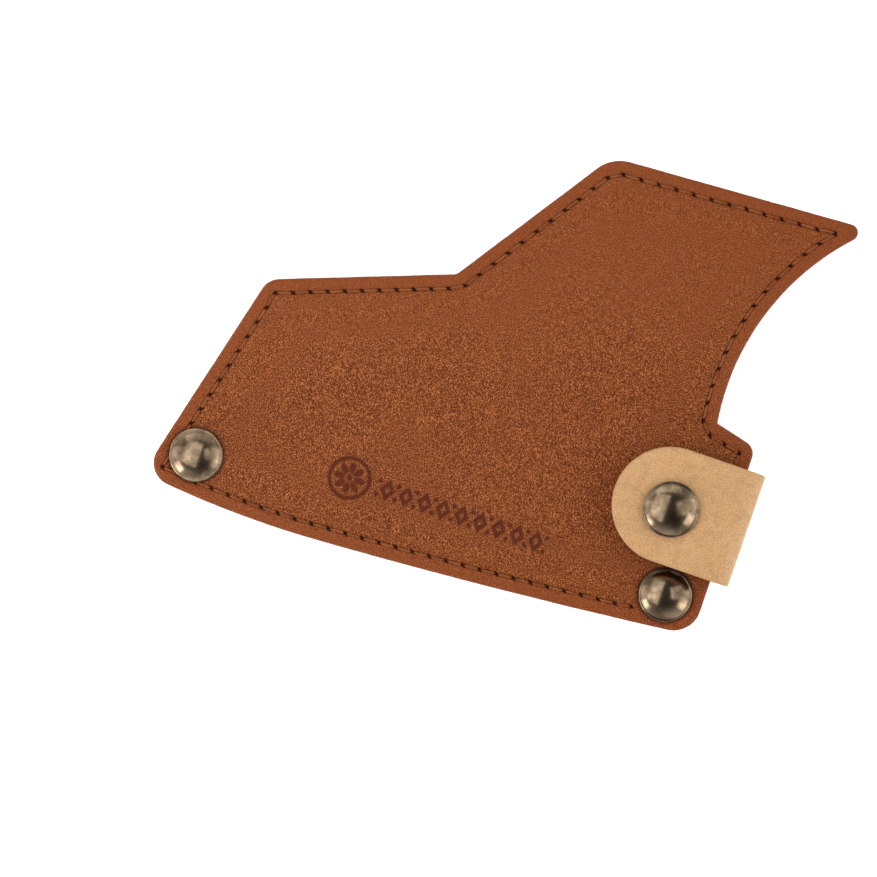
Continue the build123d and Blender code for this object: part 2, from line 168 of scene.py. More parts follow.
class Sheet:
    """A flat net of small squares whose border lies on an outline, drawn in by `inset`."""

    def __init__(self, outline, inset, pitch, origin=(0.0, 0.0)):
        normal = inward(outline)
        drawn = outline + normal * inset
        tree = KDTree(len(drawn))
        for i, (x, y) in enumerate(drawn):
            tree.insert((x, y, 0), i)
        tree.balance()
        low, high = drawn.min(0) - pitch, drawn.max(0) + pitch
        k0 = np.floor((low - origin) / pitch).astype(int)
        k1 = np.ceil((high - origin) / pitch).astype(int)
        xs = origin[0] + pitch * np.arange(k0[0], k1[0] + 1)
        ys = origin[1] + pitch * np.arange(k0[1], k1[1] + 1)
        gx, gy = np.meshgrid(xs, ys, indexing="ij")
        flat = np.stack([gx.ravel(), gy.ravel()], 1)
        near = np.array([tree.find((x, y, 0))[1] for x, y in flat])
        depth = ((flat - drawn[near]) * normal[near]).sum(1)
        border = np.abs(depth) <= pitch * 0.5
        flat[border] = drawn[near[border]]
        depth[border] = 0.0
        ok = depth > -1e-9
        index = np.arange(len(flat)).reshape(gx.shape)
        cells = np.stack(
            [index[:-1, :-1], index[1:, :-1], index[1:, 1:], index[:-1, 1:]], -1
        ).reshape(-1, 4)
        good = ok[cells]
        outer = near[cells[:, 0]]
        middle = flat[cells].mean(1)
        inside = ((middle - drawn[outer]) * normal[outer]).sum(1) > 0.02 * pitch
        all_border = border[cells].all(1)
        quads = cells[good.all(1) & (~all_border | inside)]
        three = cells[good.sum(1) == 3]
        keep3 = good[good.sum(1) == 3]
        tris = three[keep3].reshape(-1, 3)
        tris = tris[~border[tris].all(1)]
        faces = [tuple(f) for f in quads.tolist()] + [tuple(f) for f in tris.tolist()]
        used = np.unique(np.concatenate([quads.ravel(), tris.ravel()]))
        renumber = np.full(len(flat), -1)
        renumber[used] = np.arange(len(used))
        self.points = flat[used]
        self.depth = depth[used] + inset
        self.faces = [tuple(int(renumber[i]) for i in f) for f in faces]
        self.near = near[used]
        self.loop = np.array(self._border())
        self.edge_points = outline[self.near[self.loop]]
        self.edge_normals = normal[self.near[self.loop]]

    def _border(self):
        """The border's points in order, with the net on their left."""
        edges = {(a, b) for f in self.faces for a, b in zip(f, f[1:] + f[:1])}
        ahead = {a: b for a, b in edges if (b, a) not in edges}
        loops = []
        while ahead:
            loop = []
            at = next(iter(ahead))
            while at in ahead:
                loop.append(at)
                at = ahead.pop(at)
            loops.append(loop)
        if len(loops) != 1:
            raise ValueError(f"the net has {len(loops)} borders")
        return loops[0]


def smooth(x):
    """A smooth step from 0 to 1 as x goes from 0 to 1."""
    x = np.clip(x, 0.0, 1.0)
    return x * x * (3 - 2 * x)


def waves(p, size, seed):
    """A smooth made-up unevenness from -1 to 1, with bumps of about this size."""
    rng = np.random.default_rng(seed)
    total, count = np.zeros(len(p)), 7
    for _ in range(count):
        a, phase = rng.uniform(0, 2 * math.pi, 2)
        k = 2 * math.pi / (size * rng.uniform(0.7, 1.6))
        total += np.sin(k * (p[:, 0] * math.cos(a) + p[:, 1] * math.sin(a)) + phase)
    return total / count


def pebbles(p, size, seed):
    """Grain like small packed pebbles: 0 in the creases between them, 1 on their crowns."""
    longer, repeat = 1.45, (211, 199)
    p = np.column_stack([p @ (math.cos(TILT), math.sin(TILT)),
                         p @ (-math.sin(TILT), math.cos(TILT)) / longer])
    jitter = np.random.default_rng(seed).uniform(-0.42, 0.42, (*repeat, 2))
    cell = np.floor(p / size).astype(int)
    near = np.full((2, len(p)), 9.0)
    for i in (-1, 0, 1):
        for j in (-1, 0, 1):
            c = cell + (i, j)
            centre = c + 0.5 + jitter[c[:, 0] % repeat[0], c[:, 1] % repeat[1]]
            d = np.linalg.norm(p / size - centre, axis=1)
            near[1] = np.minimum(near[1], np.maximum(near[0], d))
            near[0] = np.minimum(near[0], d)
    return smooth((near[1] - near[0]) / 0.55)


def walls(rings):
    """Quads that join each closed ring of points to the next."""
    faces = []
    for a, b in zip(rings, rings[1:]):
        corners = (a, b, np.roll(b, -1), np.roll(a, -1))
        faces.extend(zip(*(ring.tolist() for ring in corners)))
    return faces


def mesh_object(name, vertices, faces, attributes=None, uv=None):
    """A smooth-shaded object from points in mm, with point attributes and a UV map."""
    mesh = bpy.data.meshes.new(name)
    mesh.from_pydata((np.asarray(vertices) * MM).tolist(), [], faces)
    mesh.polygons.foreach_set("use_smooth", [True] * len(mesh.polygons))
    for key, values in (attributes or {}).items():
        layer = mesh.attributes.new(key, "FLOAT", "POINT")
        layer.data.foreach_set("value", np.asarray(values, np.float32))
    if uv is not None:
        layer = mesh.uv_layers.new(name="UVMap")
        corner = np.zeros(len(mesh.loops), int)
        mesh.loops.foreach_get("vertex_index", corner)
        layer.data.foreach_set("uv", np.asarray(uv, np.float32)[corner].ravel())
    mesh.update()
    made = bpy.data.objects.new(name, mesh)
    bpy.context.scene.collection.objects.link(made)
    return made


# ---------------------------------------------------------------- stitches, from the CAD threads
def stitches_of(node, side):
    """(hole, hole) for each stitch of a CAD thread; side is +1 if its runs face up, -1 if down.

    Each stitch is an island of the thread's mesh, whose two legs go down its holes.
    """
    leg_tip, leg_radius = 0.2, 0.27
    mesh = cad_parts[node].data
    co = np.array([v.co for v in mesh.vertices], float) / MM
    _, label = np.unique(np.round(co, 3), axis=0, return_inverse=True)
    label = label.ravel()
    faces = np.array([list(p.vertices)[:3] for p in mesh.polygons])
    group = label.copy()
    settled = False
    while not settled:
        low = group[faces].min(1)
        new = group.copy()
        for k in range(3):
            np.minimum.at(new, faces[:, k], low)
        by_place = np.full(label.max() + 1, 1 << 30)
        np.minimum.at(by_place, label, new)
        new = by_place[label]
        settled = (new == group).all()
        group = new
    found = []
    for g in np.unique(group):
        p = co[group == g]
        tip = p[:, 2].min() if side > 0 else p[:, 2].max()
        legs = p[np.abs(p[:, 2] - tip) < leg_tip][:, :2]
        centre = legs.mean(0)
        axis = np.linalg.svd(legs - centre)[2][0]
        t = (legs - centre) @ axis
        a, b = legs[t < 0].mean(0), legs[t > 0].mean(0)
        way = (b - a) / np.linalg.norm(b - a)
        found.append((a - way * leg_radius, b + way * leg_radius))
    return found


front_seam = stitches_of("seam_needle_thread", 1)
front_hem = stitches_of("front_hem_needle_thread", 1)
back_seam = stitches_of("seam_bobbin_thread", -1)
back_hem = stitches_of("back_hem_needle_thread", -1)
front_hem_in = stitches_of("front_hem_bobbin_thread", -1)
back_hem_in = stitches_of("back_hem_bobbin_thread", 1)
anchor = stitches_of("strap_anchor_needle_thread", -1)


def slots(stitches, reach=0.42, slant=0.24):
    """The needle's slots at the ends of the stitches: short runs, a little slanted."""
    found = []
    lean = np.array([[math.cos(slant), math.sin(slant)], [-math.sin(slant), math.cos(slant)]])
    for a, b in stitches:
        way = lean @ (b - a) / np.linalg.norm(b - a) * reach
        found += [(a, a + way), (b - way, b)]
    return found


def line_distance(points, stitches):
    """Distance from each point to the nearest stitch or slot, up to `far`."""
    far = 3.0
    best = np.full(len(points), far)
    for a, b in stitches:
        low, high = np.minimum(a, b) - far, np.maximum(a, b) + far
        local = np.flatnonzero(((points > low) & (points < high)).all(1))
        if not len(local):
            continue
        ab = b - a
        t = np.clip(((points[local] - a) @ ab) / (ab @ ab), 0, 1)
        d = np.linalg.norm(points[local] - a - t[:, None] * ab, axis=1)
        best[local] = np.minimum(best[local], d)
    return best


def thread_piece(name, stitches, face, side, node, lift=-0.20):
    """Twisted three-ply thread: each stitch rises from one hole, runs along and dives again."""
    radius, deep, first, bend = 0.22, 0.9, 0.40, 0.42
    around, vertices, faces, sunk = 12, [], [], []
    angle = np.arange(around) * 2 * math.pi / around
    stray = np.random.default_rng(len(stitches)).uniform(-1, 1, (len(stitches), 3))
    for number, (a, b) in enumerate(stitches):
        way = b - a
        length = np.linalg.norm(way)
        way = way / length
        across = np.array([-way[1], way[0], 0.0])
        turn = np.linspace(0, math.pi / 2, 6)
        rise = np.column_stack([first + bend * (1 - np.cos(turn)), deep * (np.sin(turn) - 1)])
        run = np.linspace(first + bend, length - first - bend, 14)[1:-1]
        run = np.column_stack([run, 0.06 * np.sin(math.pi * run / length)])
        path = np.vstack([rise, run, rise[::-1] * (-1, 1) + (length, 0)])
        step = np.gradient(path, axis=0)
        step /= np.linalg.norm(step, axis=1)[:, None]
        travelled = np.concatenate([[0], np.cumsum(np.linalg.norm(np.diff(path, axis=0), axis=1))])
        base = len(vertices)
        for (x, z), (dx, dz), s in zip(path, step, travelled):
            bow = math.sin(math.pi * x / length) * 0.07
            level = z + lift + stray[number, 1] * 0.03
            centre = np.array([*(a + way * x), face + side * level])
            centre += across * bow * stray[number, 0]
            up = np.array([*(way * -dz), side * dx])
            ply = 1.0 + 0.14 * np.cos(3 * (angle - s * 3.4 + number))
            sunk.extend([min(1.0, -z / 0.35)] * around)
            vertices.extend(centre + radius * ply[:, None] * (
                np.cos(angle)[:, None] * across + np.sin(angle)[:, None] * up
            ))
        for k in range(len(path) - 1):
            for j in range(around):
                i0, i1 = base + k * around + j, base + k * around + (j + 1) % around
                quad = (i0, i1, i1 + around, i0 + around)
                faces.append(quad if side > 0 else quad[::-1])
        ends = [[base + j for j in range(around)],
                [base + (len(path) - 1) * around + j for j in range(around)]]
        faces.append(tuple(ends[0][::-1] if side > 0 else ends[0]))
        faces.append(tuple(ends[1] if side > 0 else ends[1][::-1]))
    made = mesh_object(name, vertices, faces, {"sunk": np.clip(sunk, 0, 1)})
    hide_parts(node)
    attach(made, "sheath")
    return made


# ---------------------------------------------------------------- leather faces
EDGE = 0.75  # radius of the burnished edge
CAP_RADIUS = 6.0
ornament_centre = SNAP + (-69.4, -16.6)


def ornament(points):
    """How deep the stamp goes, 0 to 1: a ring of petals, then a row of lozenges and dots."""
    p = points - ornament_centre
    r = np.hypot(p[:, 0], p[:, 1])
    a = (np.arctan2(p[:, 1], p[:, 0]) + math.pi / 8) % (math.pi / 4) - math.pi / 8
    along, off = r * np.cos(a), r * np.sin(a)
    petal = 1 - np.hypot((along - 2.3) / 1.25, off / 0.72)
    deep = np.maximum.reduce([petal * 0.72, 0.42 - np.abs(r - 4.5), 0.62 - r])
    for k in range(9):
        q = np.abs(points - ornament_centre - (8.9 + 4.35 * k, 0.1))
        shape = 1 - q[:, 0] / 1.75 - q[:, 1] / 2.4
        deep = np.maximum(deep, np.minimum(shape, 0.62 - shape) * 1.6)
        deep = np.maximum(deep, 0.5 - np.hypot(q[:, 0] - 2.17, q[:, 1] - 1.55))
    return smooth(deep / 0.3 + 0.5)


rivets = [sum(node_box(f"{end}_rivet_cap"))[:2] / 2 for end in ("toe", "heel")]
outline = face_outline() + SNAP
front_net = Sheet(outline, EDGE, 0.215)
back_net = Sheet(outline, EDGE, 0.33)


def leather_face(name, node, net, face, inner, side, stitches, stamped):
    """One face: a rounded burnished edge, a margin pressed by the seam and a softly full middle.

    The height field carries the groove, the needle's slots, the grain, the dimples under the
    rivets and, on the front, the stamp and the hollow under the snap.
    """
    p, depth, loop = net.points, net.depth, net.loop
    near_line = line_distance(p, stitches)
    near_slot = line_distance(p, slots(stitches))
    middle = smooth((depth - 3.2) / 1.0)
    height = 0.34 * (1 - np.exp(-np.clip(depth - 3.4, 0, None) / 6.0)) - 0.10 * (1 - middle)
    groove = np.exp(-((near_line / 0.5) ** 2))
    pressed = np.exp(-((near_line / 1.3) ** 2))
    height -= 0.10 * groove + 0.10 * pressed
    height += 0.07 * waves(p, 26.0, 3 + side) * middle + 0.015 * waves(p, 5.0, 11 + side)
    grain = pebbles(p, 0.62, 5 + side)
    stamp = ornament(p) if stamped else np.zeros(len(p))
    height += 0.05 * (grain - 0.6) * (0.45 + 0.55 * middle) * (1 - 0.8 * pressed) * (1 - stamp)
    # hole marks the needle slots, which the material darkens as painted shade
    hole = smooth((0.52 - near_slot) / 0.28)
    for centre in rivets:
        r = np.linalg.norm(p - centre, axis=1)
        height -= 0.22 * np.exp(-((np.clip(r - CAP_RADIUS + 0.1, 0, None) / 1.1) ** 2))
        # painted shadow: on the front, a dark ring round each rivet cap is added to hole
        if side > 0:
            hole = np.maximum(hole, 0.8 * np.exp(-(((r - CAP_RADIUS - 0.1) / 0.35) ** 2)))
    height -= 0.65 * smooth((0.42 - near_slot) / 0.24)
    height -= 0.30 * stamp
    if stamped:
        away = np.linalg.norm(p - SNAP, axis=1)
        height -= 0.15 * np.exp(-((np.clip(away - 5.0, 0, None) / 2.0) ** 2))
    z = face + side * height
    top, n = z[loop], len(loop)
    wander = 0.04 + 0.04 * waves(net.edge_points, 9.0, 21)
    wander += 0.03 * waves(net.edge_points, 2.5, 22)
    bend = np.linspace(0, math.pi / 2, 7)[1:]
    profile = [(EDGE * (1 - math.sin(a)), 0.6 * (1 - math.cos(a))) for a in bend]
    profile += [(-0.02, 0.85), (0.0, 1.15), (0.08, None)]
    vertices, depths = [np.column_stack([p, z])], [depth]
    for inset, drop in profile:
        place = net.edge_points + net.edge_normals * np.clip(inset + wander, 0, None)[:, None]
        low = np.full(n, inner + side * 0.01) if drop is None else top - side * drop
        vertices.append(np.column_stack([place, low]))
        depths.append(np.full(n, max(inset, 0.0)))
    rings = [loop] + [len(p) + k * n + np.arange(n) for k in range(len(profile))]
    faces = net.faces + walls(rings) + [tuple(rings[-1][::-1].tolist())]
    if side < 0:
        faces = [f[::-1] for f in faces]

    def padded(values, fill=0.0):
        """The values, and `fill` at every point of the edge."""
        return np.concatenate([values, np.full(n * len(profile), fill)])

    made = mesh_object(name, np.vstack(vertices), faces, {
        "depth": np.concatenate(depths),
        "groove": padded(groove),
        "hole": padded(hole),
        "stamp": padded(stamp),
        "grain": padded(grain, 0.5),
    })
    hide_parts(node)
    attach(made, "sheath")
    return made


front_leather = leather_face("front_leather", "front_panel", front_net, FRONT, FRONT_IN, 1,
                             front_seam + front_hem, True)
back_leather = leather_face("back_leather", "back_panel", back_net, BACK, BACK_IN, -1,
                            back_seam + back_hem, False)


def lining(name, node, net, face, outer, side, stitches):
    """A thin lining: its pocket side is pressed along the hem, and its cut edge is soft."""
    p, loop = net.points, net.loop
    height = 0.05 * waves(p, 9.0, 41 + side) - 0.06
    height -= 0.28 * np.exp(-((line_distance(p, stitches) / 0.5) ** 2))
    z = face + side * height
    wander = 0.12 + 0.08 * waves(net.edge_points, 4.0, 43 + side)
    profile, n = ((0.16, 0.10), (0.04, 0.3), (0.0, 0.55), (0.04, 0.9), (0.10, 1.0)), len(loop)
    vertices = [np.column_stack([p, z])]
    for inset, share in profile:
        place = net.edge_points + net.edge_normals * (inset + wander)[:, None]
        vertices.append(np.column_stack([place, z[loop] * (1 - share) + share * outer]))
    rings = [loop] + [len(p) + k * n + np.arange(n) for k in range(len(profile))]
    faces = net.faces + walls(rings) + [tuple(rings[-1][::-1].tolist())]
    if side < 0:
        faces = [f[::-1] for f in faces]
    made = mesh_object(name, np.vstack(vertices), faces)
    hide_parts(node)
    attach(made, "sheath")
    return made


lining_net = Sheet(outline, 0.4, 0.5)
linings = [
    lining("front_lining_leather", "front_lining", lining_net, FRONT_POCKET, FRONT_IN, -1,
           front_hem_in),
    lining("back_lining_leather", "back_lining", lining_net, BACK_POCKET, BACK_IN, 1,
           back_hem_in),
]


def welt(name, node):
    """A welt of stacked layers: softly rounded, uneven along its wall, grooved at the glue line."""
    copy = bpy.data.objects.new(name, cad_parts[node].data.copy())
    bpy.context.scene.collection.objects.link(copy)
    remesh = copy.modifiers.new("remesh", "REMESH")
    remesh.mode, remesh.voxel_size = "VOXEL", 0.36 * MM
    soften = copy.modifiers.new("soften", "SMOOTH")
    soften.factor, soften.iterations = 0.5, 3
    graph = bpy.context.evaluated_depsgraph_get()
    mesh = bpy.data.meshes.new_from_object(copy.evaluated_get(graph))
    bpy.data.objects.remove(copy)
    n = len(mesh.vertices)
    place, normal = np.zeros(n * 3), np.zeros(n * 3)
    mesh.vertices.foreach_get("co", place)
    mesh.vertices.foreach_get("normal", normal)
    place, normal = place.reshape(-1, 3) / MM, normal.reshape(-1, 3)
    low, high = node_box(node)
    wall = smooth((np.linalg.norm(normal[:, :2], axis=1) - 0.5) / 0.4)
    tall = high[2] - low[2]
    level = (place[:, 2] - low[2]) / tall
    layer = np.where(level > 0.5, 1.0, 0.0)
    push = -0.14 + 0.06 * waves(place[:, :2] + layer[:, None] * 40, 6.0, 51)
    push += 0.03 * waves(place[:, [0, 2]] + place[:, 1:2], 1.6, 52)
    push -= 0.22 * np.exp(-(((level - 0.5) * tall / 0.28) ** 2))
    place[:, :2] += normal[:, :2] * (push * wall)[:, None]
    mesh.vertices.foreach_set("co", (place * MM).ravel())
    mesh.polygons.foreach_set("use_smooth", [True] * len(mesh.polygons))
    mesh.materials.clear()
    mesh.update()
    made = bpy.data.objects.new(name, mesh)
    bpy.context.scene.collection.objects.link(made)
    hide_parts(node)
    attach(made, "sheath")
    return made


welts = [welt("edge_welt_leather", "edge_welt"), welt("heel_welt_leather", "heel_welt")]
brown_threads = [
    thread_piece("front_seam_stitches", front_seam, FRONT, 1, "seam_needle_thread"),
    thread_piece("front_hem_stitches", front_hem, FRONT, 1, "front_hem_needle_thread"),
    thread_piece("back_seam_stitches", back_seam, BACK, -1, "seam_bobbin_thread"),
    thread_piece("back_hem_stitches", back_hem, BACK, -1, "back_hem_needle_thread"),
    thread_piece("front_inner_hem_stitches", front_hem_in, FRONT_POCKET, -1,
                 "front_hem_bobbin_thread"),
    thread_piece("back_inner_hem_stitches", back_hem_in, BACK_POCKET, 1,
                 "back_hem_bobbin_thread"),
]
tan_threads = [
    thread_piece("strap_anchor_stitches", anchor, 0.0, -1, "strap_anchor_needle_thread",
                 lift=-0.3),
]


# ---------------------------------------------------------------- strap
STRAP_LOW = node_box("strap_tab")[0][1]
STRAP_HIGH = node_box("strap_tab")[1][1]
STRAP_MIDDLE = (STRAP_LOW + STRAP_HIGH) / 2
HALF = (STRAP_HIGH - STRAP_LOW) / 2
BASE_END = node_box("strap_base")[0][0]
TAB_END = node_box("strap_tab")[0][0]
TOP = node_box("strap_tab")[1][2]
FOLD_X = SNAP[0] + 14.0
BEND, THICK = 2.8, 2.0  # BEND is the radius of the strap's middle layer in its folds
LOW_CENTRE, HIGH_CENTRE = BEND + THICK / 2, TOP - BEND - THICK / 2
QUARTER = BEND * math.pi / 2
# how far along the strap its base, lower fold, link, upper fold and tab end
s1 = FOLD_X - BASE_END
s2 = s1 + QUARTER
s3 = s2 + HIGH_CENTRE - LOW_CENTRE
s4 = s3 + QUARTER
s5 = s4 + FOLD_X - TAB_END


def strap_place(s, y, t):
    """A point of the folded strap, s along it, y across it and t out from its middle layer."""
    out = np.zeros((len(s), 3))
    out[:, 1] = y
    part = np.searchsorted((s1, s2, s3, s4), s, side="right")
    base, low, link, high, tab = (part == k for k in range(5))
    out[base, 0], out[base, 2] = BASE_END + s[base], THICK / 2 - t[base]
    a = (s[low] - s1) / BEND - math.pi / 2
    out[low, 0] = FOLD_X + (BEND + t[low]) * np.cos(a)
    out[low, 2] = LOW_CENTRE + (BEND + t[low]) * np.sin(a)
    out[link, 0], out[link, 2] = FOLD_X + BEND + t[link], LOW_CENTRE + s[link] - s2
    a = (s[high] - s3) / BEND
    out[high, 0] = FOLD_X + (BEND + t[high]) * np.cos(a)
    out[high, 2] = HIGH_CENTRE + (BEND + t[high]) * np.sin(a)
    out[tab, 0], out[tab, 2] = FOLD_X - (s[tab] - s4), HIGH_CENTRE + BEND + t[tab]
    return out


def strap_pieces():
    """The strap as one closed sheet, folded and then cut across the middle of its link."""
    edge, pitch = 0.55, 0.42
    corners = [(0, -HALF), (s5, -HALF), (s5, HALF), (0, HALF)]
    runs = [line(corners[k], corners[(k + 1) % 4]) for k in range(4)]
    shape = rounded(runs, [5.0, HALF - 0.05, HALF - 0.05, 5.0])
    middle = (s2 + s3) / 2
    sheet = Sheet(shape, edge, pitch, origin=(middle, 0.0))
    p, depth, loop = sheet.points, sheet.depth, sheet.loop

    def skin(points, side):
        """The half thickness there: pressed by the snap's cap, and grooved for the anchor box."""
        half = np.full(len(points), THICK / 2)
        half += 0.012 * waves(points, 7.0, 31 + side) - 0.012
        if side > 0:
            x = FOLD_X - (points[:, 0] - s4)
            r = np.hypot(x - SNAP[0], points[:, 1] + STRAP_MIDDLE - SNAP[1])
            on_tab = points[:, 0] > s4
            half -= 0.16 * np.exp(-((np.clip(r - 6.1, 0, None) / 1.2) ** 2)) * on_tab
            flat = np.column_stack([BASE_END + points[:, 0], points[:, 1] + STRAP_MIDDLE])
            on_base = points[:, 0] < s1
            half -= 0.42 * np.exp(-((line_distance(flat, anchor) / 0.45) ** 2)) * on_base
            half -= 0.5 * smooth((0.5 - line_distance(flat, slots(anchor))) / 0.25) * on_base
            bent = ((points[:, 0] > s1 - 1) & (points[:, 0] < s4 + 1)).astype(float)
            half += bent * 0.015 * waves(points * (3.0, 0.6), 5.0, 37)
        return half

    y, n = p[:, 1] + STRAP_MIDDLE, len(loop)
    layers = [strap_place(p[:, 0], y, skin(p, 1))]
    across = [np.column_stack([p, depth])]
    upper, lower = skin(p[loop], 1), skin(p[loop], -1)
    turns = math.pi * np.linspace(0, 1, 11)[1:-1]
    for a in turns:
        inset = edge * (1 - math.sin(a) ** 0.6)
        outer = math.cos(a) >= 0
        level = (upper if outer else -lower) * abs(math.cos(a)) ** 0.6
        q = sheet.edge_points + sheet.edge_normals * (inset + 0.02)
        layers.append(strap_place(q[:, 0], q[:, 1] + STRAP_MIDDLE, level))
        across.append(np.column_stack([q, np.full(n, inset)]))
    layers.append(strap_place(p[:, 0], y, -skin(p, -1)))
    across.append(np.column_stack([p, depth]))
    vertices, info = np.vstack(layers), np.vstack(across)
    edge_count = len(turns) * n
    under = len(p) + edge_count
    rings = [loop] + [len(p) + k * n + np.arange(n) for k in range(len(turns))] + [loop + under]
    faces = sheet.faces + [tuple(under + i for i in f[::-1]) for f in sheet.faces] + walls(rings)
    flesh = np.concatenate([np.zeros(len(p)), np.full(edge_count, 0.5), np.ones(len(p))])
    pieces = []
    for name, sign in (("strap_lower", -1), ("strap_upper", 1)):
        chosen = [f for f in faces if sign * (info[list(f), 0].mean() - middle) > 0]
        used = sorted({i for f in chosen for i in f})
        new = {old: k for k, old in enumerate(used)}
        made = mesh_object(
            name, vertices[used], [tuple(new[i] for i in f) for f in chosen],
            {"depth": info[used, 2], "flesh": flesh[used]}, info[used, :2] * 0.01,
        )
        pieces.append(made)
    return pieces


strap_lower, strap_upper = strap_pieces()
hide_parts("strap_base", "strap_link")
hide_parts("strap_tab")
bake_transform(strap_lower)
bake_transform(strap_upper)


# ---------------------------------------------------------------- turned metal
def turned(name, centre, profile, node, body):
    """A lathe piece from (radius, height) points that start and end on the axis."""
    profile, steps = np.array(profile, float), 96
    vertices, faces = [[*centre, profile[0][1]]], []
    a = np.arange(steps) * 2 * math.pi / steps
    inner = profile[1:-1]
    for r, z in inner:
        vertices.extend(np.column_stack(
            [centre[0] + r * np.cos(a), centre[1] + r * np.sin(a), np.full(steps, z)]
        ).tolist())
    vertices.append([*centre, profile[-1][1]])
    last = len(vertices) - 1
    for j in range(steps):
        k = (j + 1) % steps
        faces.append((0, 1 + j, 1 + k))
        for row in range(len(inner) - 1):
            i = 1 + row * steps
            faces.append((i + j, i + steps + j, i + steps + k, i + k))
        i = 1 + (len(inner) - 1) * steps
        faces.append((i + j, last, i + k))
    made = mesh_object(name, vertices, faces)
    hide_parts(node)
    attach(made, body)
    return made


def cap_profile(radius, high, base):
    """A pressed cap: crown, a shallow neck, and a rim rolled under; from the crown's middle."""
    crown = radius - 0.62
    ball = (crown ** 2 + (high - 0.95) ** 2) / (2 * (high - 0.95))
    points = []
    for r in np.linspace(0, crown - 0.12, 26):
        fall = ball - math.sqrt(ball ** 2 - r ** 2)
        points.append((r, base + high - fall - 0.10 * (r / crown) ** 6))
    points.append((crown + 0.02, base + 0.80))
    rim, mid = 0.33, base + 0.42
    for t in np.linspace(125, -90, 16):
        turn = math.radians(t)
        points.append((radius - rim + rim * math.cos(turn), mid + rim * 1.15 * math.sin(turn)))
    foot = base - 0.12
    return points + [(radius - 0.7, foot), (0.0, foot)]


def base_profile(node):
    """A rivet's dished base, seen from below: a flat disc with a rolled edge."""
    low, high = node_box(node)
    bottom, top = low[2] + 0.02, high[2] - 0.02
    flat, roll = 3.9, 0.83
    points = [(0.0, bottom)]
    points += [(r, bottom + 0.28 * (r / flat) ** 2.4) for r in np.linspace(0.4, flat, 12)]
    points += [(flat + roll * math.sin(t), bottom + 0.28 + roll * (1 - math.cos(t)))
               for t in np.linspace(0.15, math.pi / 2, 8)]
    points += [(4.7, top), (0.0, top)]
    return points[::-1]


metal = []
for end, centre in zip(("toe", "heel"), rivets):
    metal.append(turned(f"{end}_rivet_crown", centre, cap_profile(CAP_RADIUS, 2.8, FRONT - 0.02),
                        f"{end}_rivet_cap", "sheath"))
    metal.append(turned(f"{end}_rivet_back", centre, base_profile(f"{end}_rivet_base"),
                        f"{end}_rivet_base", "sheath"))
metal.append(turned("snap_crown", SNAP, cap_profile(6.25, 2.7, TOP - 0.02), "snap_cap",
                    "strap_tab"))


# ---------------------------------------------------------------- materials
def srgb(*values):
    """A linear colour from red, green and blue of 0 to 255."""
    shares = [v / 255 for v in values]
    return (*(v / 12.92 if v <= 0.04045 else ((v + 0.055) / 1.055) ** 2.4 for v in shares), 1.0)


class Nodes:
    """A material's node tree, with short calls to add and join nodes."""

    def __init__(self, name):
        self.material = bpy.data.materials.new(name)
        self.material.use_nodes = True
        self.tree = self.material.node_tree
        self.shader = self.tree.nodes["Principled BSDF"]

    def add(self, kind, inputs=None, **settings):
        """A new node, with its properties set and its inputs joined or set."""
        node = self.tree.nodes.new(kind)
        for key, value in settings.items():
            setattr(node, key, value)
        for key, value in (inputs or {}).items():
            self.put(node.inputs[key], value)
        return node

    def put(self, socket, value):
        """Joins another node's output to the socket, or sets its number or colour."""
        if isinstance(value, bpy.types.NodeSocket):
            self.tree.links.new(value, socket)
        else:
            socket.default_value = value

    def times(self, a, b):
        return self.add("ShaderNodeMath", {0: a, 1: b}, operation="MULTIPLY").outputs[0]

    def remap(self, value, low, high, to_low=0.0, to_high=1.0):
        """A value of `low` to `high` turned smoothly into `to_low` to `to_high`."""
        node = self.add("ShaderNodeMapRange", clamp=True, interpolation_type="SMOOTHSTEP")
        for k, v in enumerate((value, low, high, to_low, to_high)):
            self.put(node.inputs[k], v)
        return node.outputs[0]

    def mix(self, factor, a, b):
        node = self.add("ShaderNodeMix", data_type="RGBA")
        for socket, value in ((0, factor), (6, a), (7, b)):
            self.put(node.inputs[socket], value)
        return node.outputs[2]

    def noise(self, vector, scale, detail=3.0, rough=0.55):
        return self.add("ShaderNodeTexNoise", {
            "Vector": vector, "Scale": scale, "Detail": detail, "Roughness": rough,
        }).outputs[0]

    def cells(self, vector, scale, feature="F1", smoothness=None):
        node = self.add("ShaderNodeTexVoronoi", {"Vector": vector, "Scale": scale},
                        feature=feature)
        if smoothness is not None:
            node.inputs["Smoothness"].default_value = smoothness
        return node.outputs["Distance"]

    def place(self):
        return self.add("ShaderNodeTexCoord").outputs["Object"]

    def stretched(self, vector, scale):
        return self.add("ShaderNodeMapping", {"Vector": vector, "Scale": scale}).outputs[0]

    def attribute(self, name):
        return self.add("ShaderNodeAttribute", attribute_name=name).outputs["Fac"]

    def bump(self, height, strength, distance, normal=None):
        node = self.add("ShaderNodeBump", {
            "Strength": strength, "Distance": distance, "Height": height,
        })
        if normal is not None:
            self.put(node.inputs["Normal"], normal)
        return node.outputs[0]


